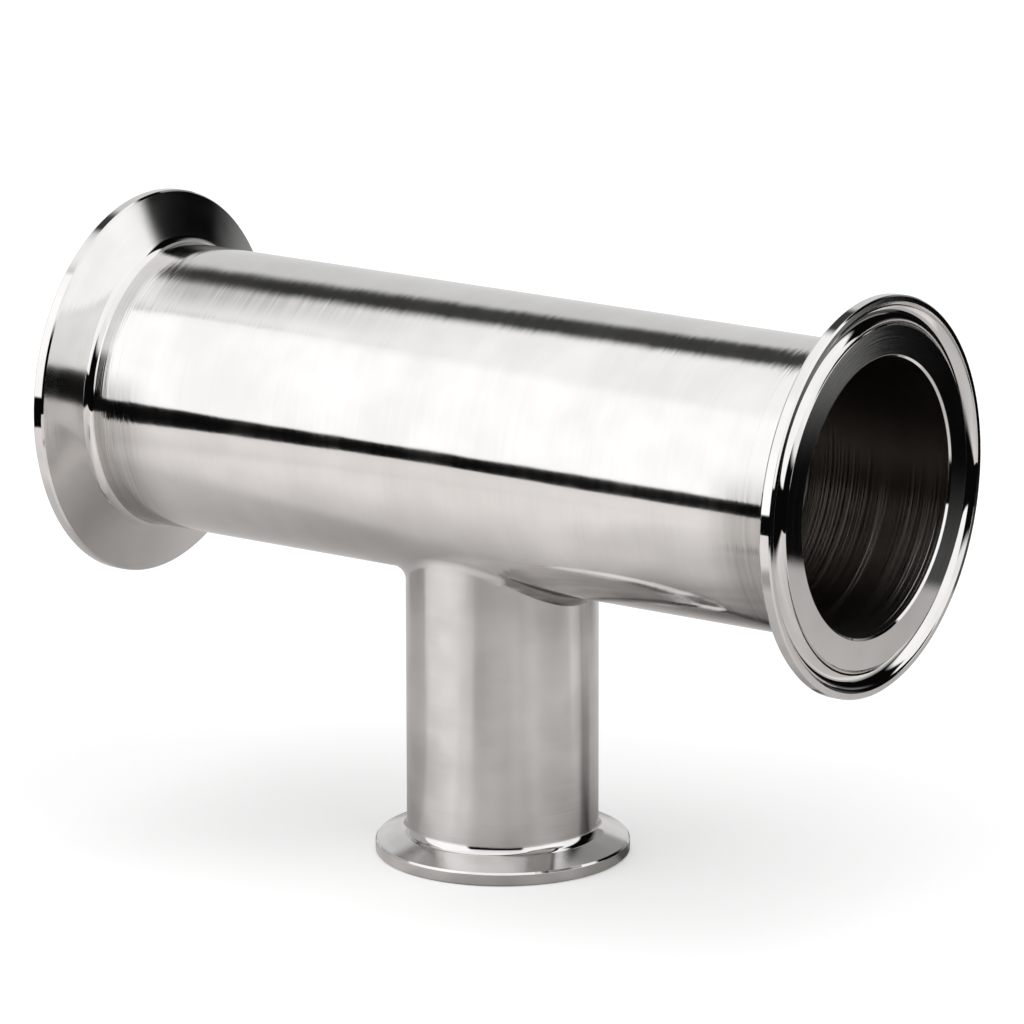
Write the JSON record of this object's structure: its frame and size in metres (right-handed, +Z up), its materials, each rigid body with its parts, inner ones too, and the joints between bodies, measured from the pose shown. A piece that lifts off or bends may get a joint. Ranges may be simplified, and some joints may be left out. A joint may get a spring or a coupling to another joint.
{
  "type": "sanitary clamp tee",
  "caption": "Reducing tee for sanitary pipework: a straight tube with a smaller tube branching off it, and a grooved clamp ferrule on every end.",
  "frame": {"origin": "where the axis of the run crosses the axis of the branch", "axes": "+X along the run, +Z up, with the branch pointing down along -Z"},
  "size_m": [0.1714, 0.0776, 0.1231],
  "materials": {
    "satin_tube": "satin, ground round the tube",
    "polished_ferrule": "turned and polished"
  },
  "bodies": {
    "root": {"run_tube": "satin_tube", "branch_tube": "satin_tube", "left_run_ferrule": "polished_ferrule", "right_run_ferrule": "polished_ferrule", "branch_ferrule": "polished_ferrule"}
  },
  "joints": []
}
